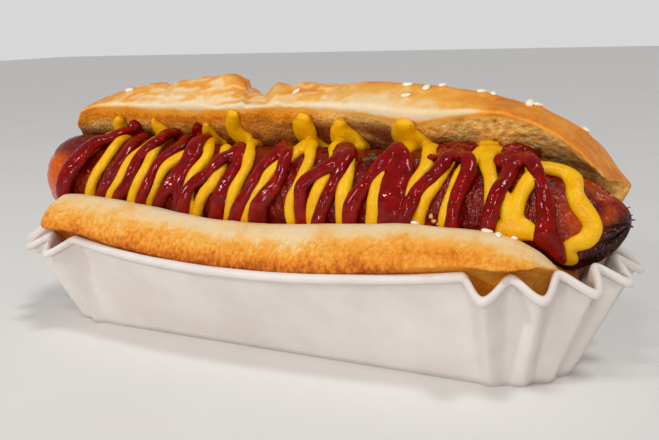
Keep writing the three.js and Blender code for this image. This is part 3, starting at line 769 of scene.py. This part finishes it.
def torn_crown(x, y, on_top):
    """The torn edge of the far half's crown: a flap, the ledge beside it and small bites."""
    # the tears run slantwise over the crown
    x = x + TEAR_SLANT * (y - 14)
    flap = ease(-34, -28, x) * ease(-23.2, -23.9, x)
    ledge = ease(-23.9, -23.2, x) * ease(-14.5, -16.5, x)
    bites = sum(deep * bump(x, middle, width) for deep, middle, width in BITES)
    return on_top * (1.35 * flap - 0.3 * ledge - bites + 0.8 * bump(x, -13.3, 1.4))


def make_roll():
    roll = remeshed(roll_copy(), ROLL_VOXEL, 12, 0.6)
    place, normal = read_mesh(roll)
    x, y, z = place.T
    lip, crest = lip_height(x), crest_height(x)
    far, near = ease(-7, -4, y), ease(9, 12, -y)
    # torn crumb shows on the cut face and lower down in the slot
    above = ease(-1.2, 0.6, z - lip)
    face = ease(0.1, 0.45, -normal[:, 1]) * (1 - above) * ease(-6, -4, y) * ease(42, 46, z)
    hidden = ease(0.2, 0.5, -normal[:, 1]) * ease(-4, -2, y) * (z < lip - 1)
    inside = np.maximum(face, hidden)
    # the far half's crown is torn in flaky layers towards the left
    crown = far * ease(-0.5, 1.5, z - lip) * ease(-0.1, 0.4, normal[:, 2])
    torn = crown * ease(26, 6, x) * ease(-78, -68, x) * ease(20, 11, y)
    level = 1.5 * waves(place, 7, 15, (2.4, 1, 1)) + 0.7 * waves(place, 2.8, 16)
    share = level - np.floor(level)
    layers = np.floor(level) + ease(0.7, 1.0, share)
    flake = torn * ease(0.6, 0.8, share) * ease(1.0, 0.9, share)
    # low on the near half the crust is rough and fibrous
    down = crest - z
    # low on the right the near half lies in the flutes' shade inside the tray: there its crust is painted lighter
    # and less flecked, painted light against that shade
    painted_light_low_right = ease(36, 50, x) * ease(4, 9, down)
    fibre = near * ease(1.2, 4.2, down + 1.3 * waves(place, 4, 31)) * ease(-2, -6, y)
    fibre = fibre * (1 - 0.6 * painted_light_low_right)
    torn_edge = hidden * ease(54, 62, x) * ease(2, -1, z - lip)
    # pits in the crumb, pressed in here and painted darker in the finish as painted shade
    holes = pits(place, 2.4, 21) * np.maximum(face * ease(20, 42, x), torn_edge)
    # how far each point moves in or out
    crust = 0.4 * waves(place, 17, 1) + 0.2 * waves(place, 6, 2, (1.6, 1, 1)) + 0.06 * rough(place, 2.4, 4)
    crust = crust + 0.42 * torn * layers + torn_crown(x, y, crown) + 0.3 * fibre * rough(place, 1.7, 6)
    torn_crumb = 0.4 * waves(place, 5, 11) + 0.26 * rough(place, 1.7, 12)
    push = crust * (1 - face) + torn_crumb * face - 0.9 * holes
    shaped = place + normal * (push - 0.25)[:, None]
    shaped[:, 2] = np.minimum(shaped[:, 2], FLAP_TOP)
    write_mesh(roll, shaped)
    # how brown the crust is: pale where it faces the open side, golden over the crown and low on the near half
    gold_near = 0.09 + 0.36 * ease(-0.6, 5, down + 1.3 * waves(place, 5, 32)) + 0.3 * ease(4, 10, down)
    over = ease(-0.85, 0.0, normal[:, 1])
    gold_far = (0.06 + 0.52 * over + 0.12 * ease(38, 70, x + 0.6 * (z - lip)) + 0.14 * ease(-50, -76, x)
                + 0.4 * ease(1.7, 0.3, z - lip) + 0.12 * waves(place, 11, 33))
    gold_far = np.minimum(gold_far, 0.62)
    # lighter low on the right: painted light that offsets the flutes' shade
    gold_near = gold_near - 0.36 * painted_light_low_right + 0.12 * ease(26, 54, x) * ease(0.3, 3, down)
    gold = np.where(y < -8, gold_near, gold_far) + 0.09 * torn * ease(0.5, 0.1, share)
    # the sauces stain the cut face in its middle; along its foot the face is darker, partly a sauce stain and
    # partly painted shade low in the slot
    smear = ease(-0.25, 0.35, waves(place, 5, 41)) * ease(-34, -8, x) * ease(54, 40, x)
    # darker towards the foot of the cut face: partly stain, partly painted shade
    low_smear_and_shade = ease(7, 1, z - 50 + 1.3 * waves(place, 4, 42)) * (0.95 - 0.6 * ease(34, 50, x))
    stain = face * np.maximum(0.95 * smear * ease(9, 4, z - 51), low_smear_and_shade)
    # the cut face is orange along its top and from the middle to the left
    toast = np.maximum(ease(4.5, 2, lip - z), 0.75 * ease(-58, -44, x)) * ease(16, -2, x)
    keep_shares(roll, gold=gold, crumb=inside, stain=stain, pore=holes, fibre=fibre, flake=flake, toast=toast)
    return finish_piece(roll, crust_finish(), "roll", "roll")


# ------ sausage

def sausage_radius(x):
    blunt = np.clip((SAUSAGE_LEFT + BLUNT_END - x) / BLUNT_END, 0, 1)
    pucker = np.clip((x - SAUSAGE_RIGHT + PUCKERED_END) / PUCKERED_END, 0, 1)
    uneven = 0.25 * np.sin(x / 17) + 0.15 * np.sin(x / 7.3 + 1)
    return (SAUSAGE_RADIUS + uneven) * np.sqrt(1 - blunt ** 2) * (1 - pucker ** 2) ** PUCKER_TAPER


def sausage_middle(x):
    """Height of the sausage's middle at x."""
    lift = LEFT_LIFT * (np.minimum(x, 0) / SAUSAGE_LEFT) ** 4
    return SAUSAGE_Z + lift - SAG_DEPTH * bump(x, SAG_X, SAG_WIDTH)


def make_sausage():
    """Rings along the sausage, creased all over and folded together at the puckered end."""
    around = 150
    ends = np.array([0, 0.15, 0.5, 1.1, 2, 3.2, 4.6, 6.2, 8, 10, 12])
    stations = np.concatenate([
        SAUSAGE_LEFT + ends,
        np.arange(SAUSAGE_LEFT + 12.5, SAUSAGE_RIGHT - FINE_END, 0.5),
        np.arange(SAUSAGE_RIGHT - FINE_END, SAUSAGE_RIGHT - 1.5, 0.32),
        SAUSAGE_RIGHT - np.array([1.1, 0.7, 0.4, 0.2]),
    ])
    turn = 2 * pi * np.arange(around) / around
    x, turn = np.meshgrid(stations, turn, indexing="ij")
    radius = np.maximum(sausage_radius(x), 0.5)
    way = xyz(0, np.cos(turn), np.sin(turn))
    middle = xyz(x, SAUSAGE_Y, sausage_middle(x))
    place = middle + way * radius[..., None]
    into_end = np.clip((x - SAUSAGE_RIGHT + FOLDED_END) / FOLDED_END, 0, 1)
    folds = np.cos(PUCKER_FOLDS * turn + 0.9 * waves(place, 9, 51))
    creases = np.abs(waves(place, 5, 52, (2.6, 1, 1)))
    small_creases = np.abs(waves(place, 2.6, 58, (1, 1.6, 1.6)))
    push = 0.3 * waves(place, 9, 53, (2.5, 1, 1)) + 0.16 * rough(place, 2.6, 54, (1.6, 1, 1))
    push = push - 0.5 * (1 - creases) ** 7 - 0.22 * (1 - small_creases) ** 6
    under = ease(0.3, -0.5, np.sin(turn))
    dents = 0.8 * pits(place, 3.6, 55) * (1 - into_end ** 3)
    push = push + into_end * ((0.5 + 1.1 * under) * folds * into_end + dents)
    small = np.clip(radius / 5, 0.1, 1)
    place = place + way * (push * small)[..., None]
    skin = Skin()
    skin.loft([list(ring) for ring in place])
    piece = skin.piece("sausage_skin")
    at, _ = read_mesh(piece)
    x, z = at[:, 0], at[:, 2]
    end = x + 2.2 * waves(at, 4, 56) + 0.75 * np.clip(SAUSAGE_Z - z, -4, 12)
    spots = 0.5 * ease(0.3, 0.7, waves(at, 5, 57)) * ease(62, 74, x)
    left_pale = 0.95 * ease(-65, -74, x + 2 * waves(at, 5, 58)) * ease(50, 45, z)
    right_pale = 0.5 * ease(72, 77, x) * ease(-0.5, 0.2, waves(at, 4, 60)) * ease(33, 37, z)
    smear = ease(-0.15, 0.25, waves(at, 5.5, 59)) * ease(-76, -66, x) * ease(72, 58, x)
    smear = smear + ease(-64, -70, x) * ease(44, 49, z)
    keep_shares(piece, char=ease(78, 86, end) + spots, pale=left_pale + right_pale, smear=smear)
    finish_piece(piece, sausage_finish(), "sausage", "sausage")


# ------ sauces

def drape(x, along):
    """Where a point of a route lies, and which way is out there."""
    x, along = np.asarray(x, float), np.asarray(along, float)
    radius, middle = sausage_radius(x), sausage_middle(x)
    foot_turn = atan2(FACE_FOOT[1] - SAUSAGE_Z, FACE_FOOT[0] - SAUSAGE_Y)
    to_foot = SAUSAGE_RADIUS * (pi - foot_turn)
    turn = pi - np.minimum(along, to_foot) / SAUSAGE_RADIUS
    out = xyz(0, np.cos(turn), np.sin(turn))
    place = xyz(x, SAUSAGE_Y + radius * np.cos(turn), middle + radius * np.sin(turn))
    up = xyz(0, FACE_LIP_Y - FACE_FOOT[0], lip_height(x) - FACE_FOOT[1])
    up /= norm(up, axis=-1, keepdims=True)
    on_face = xyz(x, *FACE_FOOT) + up * (along - to_foot)[..., None]
    face_out = xyz(0, -up[..., 2], up[..., 1])
    high = (along > to_foot)[..., None]
    return np.where(high, on_face, place), np.where(high, face_out, out)


def curve_through(points):
    """Evenly spaced points on a smooth curve through a route's points."""
    p = np.array([(*point, 1.0)[:3] for point in points], float)
    p = np.vstack([2 * p[0] - p[1], p, 2 * p[-1] - p[-2]])
    parts = []
    for a, b, c, d in zip(p, p[1:], p[2:], p[3:]):
        for t in np.linspace(0, 1, 12, endpoint=False):
            parts.append(0.5 * (2 * b + (c - a) * t + (2 * a - 5 * b + 4 * c - d) * t ** 2
                                + (3 * b - a - 3 * c + d) * t ** 3))
    parts.append(p[-2])
    parts = np.array(parts)
    run = np.concatenate([[0], np.cumsum(norm(np.diff(parts[:, :2], axis=0), axis=1))])
    at = np.linspace(0, run[-1], max(int(run[-1] / ROUTE_STEP), 4))
    return np.stack([np.interp(at, run, parts[:, i]) for i in range(3)], axis=1)


def smoothed(values, times):
    """The values with their steps evened out. The first and last stay."""
    values = values.copy()
    for _ in range(times):
        values[1:-1] = (values[:-2] + 2 * values[1:-1] + values[2:]) / 4
    return values


def bead(skin, centres, outs, wide, high):
    """A closed bead along a line, with rounded ends. Wide and high are half its width and height."""
    ways = np.gradient(centres, axis=0)
    ways /= norm(ways, axis=1, keepdims=True) + 1e-9
    across = np.cross(ways, outs)
    across /= norm(across, axis=1, keepdims=True) + 1e-9
    turn = 2 * pi * np.arange(12) / 12

    def ring(i, scale, shift):
        centre = centres[i] + ways[i] * shift
        side, top = wide[i] * scale, high[i] * scale
        return [centre + across[i] * (side * cos(t)) + outs[i] * (top * sin(t)) for t in turn]

    def end_ring(i, share, end):
        return ring(i, sqrt(1 - (1 - share) ** 2), end * wide[i] * (1 - share))

    shares = (0.25, 0.65, 0.9)
    rings = [end_ring(0, share, -1) for share in shares]
    rings += [ring(i, 1.0, 0.0) for i in range(len(centres))]
    rings += [end_ring(-1, share, 1) for share in reversed(shares)]
    skin.loft(rings)


def blob(skin, x, along, length, height, thick):
    """A round lump at a place on the sausage or the face."""
    place, out = drape(x, along)
    side = np.array([1.0, 0, 0])
    up = np.cross(side, out)
    rings = []
    for t in np.linspace(0.12, pi - 0.12, 9):
        radius, shift = sin(t), -cos(t)
        rings.append([place + out * (HEAP_LIFT + thick * radius * sin(a)) + side * (length * shift)
                      + up * (height * radius * cos(a)) for a in 2 * pi * np.arange(14) / 14])
    skin.loft(rings)


def draped_line(route, width, lift, seed):
    """A route's middle line on the sausage and the face, its way out, its half width and half height."""
    flat = curve_through(route)
    place, out = drape(flat[:, 0], flat[:, 1])
    place = smoothed(place, 8)
    out = smoothed(out, 8)
    out /= norm(out, axis=1, keepdims=True)
    ripple = waves(place, 4.5, seed)
    wide = width * flat[:, 2] * (1 + 0.14 * ripple)
    high = width * np.clip(np.sqrt(flat[:, 2]), 0.3, 1.15) * (0.78 + 0.1 * waves(place, 3.5, seed + 1))
    return place + out * lift, out, wide, high


def make_sauces():
    """The mustard, and the ketchup that climbs over it where they cross."""
    mustard, ketchup = Skin(), Skin()
    lines = []
    for i, route in enumerate(MUSTARD_ROUTES):
        centres, outs, wide, high = draped_line(route, MUSTARD_WIDTH, 0.5, 60 + i)
        bead(mustard, centres, outs, wide, high)
        lines.append(centres)
    laid = np.vstack(lines)
    tree = KDTree(len(laid))
    for i, point in enumerate(laid):
        tree.insert(Vector(point), i)
    tree.balance()
    for i, route in enumerate(KETCHUP_ROUTES):
        centres, outs, wide, high = draped_line(route, KETCHUP_WIDTH, 0.6, 90 + i)
        gap = np.array([tree.find(Vector(point))[2] for point in centres])
        over = smoothed(1.5 * ease(3.3, 0.6, gap), 6)
        bead(ketchup, centres + outs * over[:, None], outs, wide, high)
    for (left, right), (low, high), count, seed in KETCHUP_HEAPS:
        draw = repeatable(seed)
        for _ in range(count):
            x, along = left + (right - left) * next(draw), low + (high - low) * next(draw)
            size = 0.9 + 0.9 * next(draw)
            blob(ketchup, x, along, size, size * (0.6 + 0.5 * next(draw)), 1.2 + 1.0 * next(draw))
    for skin, name, finish, seed, uneven in (
        (mustard, "mustard_drizzle", mustard_finish, 71, 0.14),
        (ketchup, "ketchup_drizzle", ketchup_finish, 72, 0.26),
    ):
        piece = remeshed(skin.piece(name), SAUCE_VOXEL, 5, 0.5)
        place, normal = read_mesh(piece)
        write_mesh(piece, place + normal * (0.1 + uneven * rough(place, 3.2, seed))[:, None])
        finish_piece(piece, finish(), "sausage", "sausage")


# ------ seeds and crumbs

def surface_of(piece):
    """A piece's surface, for finding where a line meets it."""
    faces = [tuple(face.vertices) for face in piece.data.polygons]
    return BVHTree.FromPolygons([v.co.copy() for v in piece.data.vertices], faces)


def met(ground, start, way):
    """Where a line meets the ground, just off it, and the way out there, in a list that may be empty."""
    place, normal, _, _ = ground.ray_cast(start, way)
    return [] if place is None else [(np.array(place + normal * (SEED_LIFT * MM)), normal)]


def drop_shape(name, length, width, thick):
    """A small closed drop, blunt at one end."""
    skin = Skin()
    loops = []
    for t in np.linspace(0.2, pi - 0.2, 7):
        across = sin(t) * (1 - 0.28 * cos(t))
        loops.append([np.array([-length * cos(t), width * across * cos(a), thick * across * sin(a)])
                      for a in 2 * pi * np.arange(10) / 10])
    skin.loft(loops)
    return skin.piece(name)


def scattered(name, spots, shape, material, slot, smallest, largest, seed):
    """Small things set on spots, each a place and the way out there, by a tree of nodes."""
    cloud = new_piece(name, [place / MM for place, _ in spots], [])
    keep(cloud, way_out=[tuple(out) for _, out in spots])
    values = {"Shape": shape, "Smallest": smallest, "Largest": largest, "Seed": seed}
    tree, (points, shape_in, least, most, seed_in) = new_tree(name + "_nodes", values)
    thing = put(tree, "GeometryNodeObjectInfo", {}, {"Object": shape_in}, 4)
    standing = put(tree, "FunctionNodeAlignRotationToVector", {"axis": "Z"}, {
        "Vector": named(tree, "FLOAT_VECTOR", "way_out")})
    spin = put(tree, "FunctionNodeRandomValue", {"data_type": "FLOAT"}, {
        "Min": 0.0, "Max": 6.28, "Seed": seed_in}, 1)
    spun = put(tree, "ShaderNodeCombineXYZ", {}, {"Z": spin})
    spun = put(tree, "FunctionNodeEulerToRotation", {}, {0: spun})
    size = put(tree, "FunctionNodeRandomValue", {"data_type": "FLOAT"}, {
        2: least, 3: most, "Seed": seed_in + 1}, 1)
    turned = put(tree, "FunctionNodeRotateRotation", {"rotation_space": "LOCAL"}, {
        "Rotation": standing, "Rotate By": spun})
    placed = put(tree, "GeometryNodeInstanceOnPoints", {}, {
        "Points": points, "Instance": thing, "Rotation": turned, "Scale": size})
    grown(cloud, tree, placed, material, values)
    bpy.data.objects.remove(shape)
    finish_piece(cloud, material, slot)


def make_seeds(ground):
    """The seeds on the crown, and those behind it, which are placed by a rule."""
    draw = repeatable(7)
    places = list(SEEDS_IN_FRONT)
    count, (start, end), (lowest, highest) = SEEDS_BEHIND
    for i in range(count):
        share = (i + 0.2 + 0.6 * next(draw)) / count
        places.append((start + (end - start) * share, lowest + (highest - lowest) * next(draw)))
    spots = []
    for x, degrees in places:
        turn = radians(degrees)
        start = Vector((x, *FAR_MIDDLE)) * MM
        way = Vector((0, sin(turn), cos(turn)))
        spots += met(ground, start + way * 0.06, -way)
    seed = drop_shape("seed_shape", *SEED)
    scattered("sesame_seeds", spots, seed, small_finish("sesame_seed"), "roll", 0.85, 1.15, 5)


def make_bits(ground):
    """Bits of relish and crumb on the sauces, seeds on the near half and charred fibres at the puckered end."""
    for name, finish, places, sizes, slot in (
        ("relish_bits", "relish", RELISH_PLACES, (1.0, 0.6, 0.32), "sausage"),
        ("loose_crumbs", "loose_crumb", CRUMB_PLACES, (0.6, 0.5, 0.35), "roll"),
    ):
        spots = []
        for x, along in places:
            place, out = drape(x, along)
            spots.append(((place + out * BIT_LIFT) * MM, Vector(out)))
        scattered(name, spots, drop_shape(name + "_shape", *sizes), small_finish(finish), slot, 0.7, 1.2, 9)
    near_seeds = []
    for x, y in NEAR_SEED_PLACES:
        near_seeds += met(ground, Vector((x, y, 60)) * MM, Vector((0, 0, -1)))
    seed = drop_shape("near_seed_shape", *SEED)
    scattered("near_seeds", near_seeds, seed, small_finish("sesame_seed"), "roll", 0.85, 1.1, 6)
    draw = repeatable(19)
    fibres = []
    for _ in range(7):
        x, turn = 83.6 + 2.4 * next(draw), radians(-30 + 70 * next(draw))
        radius = float(sausage_radius(x)) - 0.2
        way = Vector((1.6 + 0.8 * next(draw), cos(turn), sin(turn))).normalized()
        height = float(sausage_middle(x)) + radius * sin(turn)
        place = Vector((x, SAUSAGE_Y + radius * cos(turn), height))
        fibres.append((np.array(place * MM), way))
    fibre = drop_shape("fibre_shape", 0.26, 0.2, 1.5)
    scattered("charred_fibres", fibres, fibre, small_finish("charred_skin"), "sausage", 0.6, 1.1, 4)


# ------ stage, lights and camera

def make_stage():
    far = FLOOR_REACH
    corners = [(-far, -far, 0), (far, -far, 0), (far, far, 0), (-far, far, 0)]
    floor = new_piece("floor", corners, [(0, 1, 2, 3)])
    floor.data.materials.append(floor_finish())


def area_light(name, place, size, power, colour=(1, 1, 1)):
    lamp = bpy.data.lights.new(name, "AREA")
    lamp.shape = "RECTANGLE"
    lamp.size, lamp.size_y = size
    lamp.energy = power
    lamp.color = colour
    holder = new_object(name, lamp)
    holder.location = place
    aim = Vector((0, 0, 0.03)) - Vector(place)
    holder.rotation_euler = aim.to_track_quat("-Z", "Y").to_euler()


def make_lights():
    sun = bpy.data.lights.new("window", "SUN")
    sun.energy = 0.9
    sun.angle = radians(12)
    aim = Vector((-0.36, 0.1, -0.9))
    new_object("window", sun).rotation_euler = aim.to_track_quat("-Z", "Y").to_euler()
    area_light("left_lamp", (-0.4, -0.55, 0.36), (0.05, 0.05), 1.15, (1.0, 0.98, 0.95))
    area_light("right_lamp", (0.3, -0.62, 0.34), (0.05, 0.05), 0.95)
    area_light("low_lamp", (-0.02, -0.75, 0.05), (0.06, 0.04), 0.55)
    area_light("middle_lamp", (0.05, -0.45, 0.62), (0.16, 0.03), 0.7)
    world = bpy.data.worlds.new("soft_room")
    world.use_nodes = True
    tree = world.node_tree
    # the room is dim in front and overhead, with a white wall behind the hot dog
    way = put(tree, "ShaderNodeTexCoord", output="Generated")
    back, up = (put(tree, "ShaderNodeSeparateXYZ", {}, {0: way}, axis) for axis in "YZ")
    behind = back.within(0.1, 0.6) * (1 - up.within(0.2, 0.6))
    background = tree.nodes["Background"]
    background.inputs["Color"].default_value = (1, 1, 1, 1)
    tree.links.new((0.3 + behind * 0.38).socket, background.inputs["Strength"])
    bpy.context.scene.world = world
    bpy.context.scene.view_settings.view_transform = "Standard"


def make_camera():
    """At the photograph's viewing angle: degrees round and up, the roll, and the distance in millimetres."""
    around, up, roll = radians(28.6), radians(12.1), radians(-1.9)
    distance, shift, height = 242.0, 8.0, 31.0
    back = Vector((sin(around) * cos(up), -cos(around) * cos(up), sin(up)))
    level = Vector((cos(around), sin(around), 0))
    above = back.cross(level)
    right = level * cos(roll) + above * sin(roll)
    top = above * cos(roll) - level * sin(roll)
    eye = (right * shift + Vector((0, 0, height)) + back * distance) * MM
    lens = bpy.data.cameras.new("camera")
    lens.sensor_width = 36
    # the lens's length and the picture's width, both in the picture's points
    lens.lens = 900 / 659 * lens.sensor_width
    lens.clip_start = 0.01
    camera = new_object("camera", lens)
    turn = Matrix((right, top, back)).transposed()
    camera.matrix_world = Matrix.Translation(eye) @ turn.to_4x4()
    bpy.context.scene.camera = camera


# ------ the whole hot dog

make_camera()
make_lights()
make_stage()
make_tray()
bread = surface_of(make_roll())
make_sausage()
make_sauces()
make_seeds(bread)
make_bits(bread)
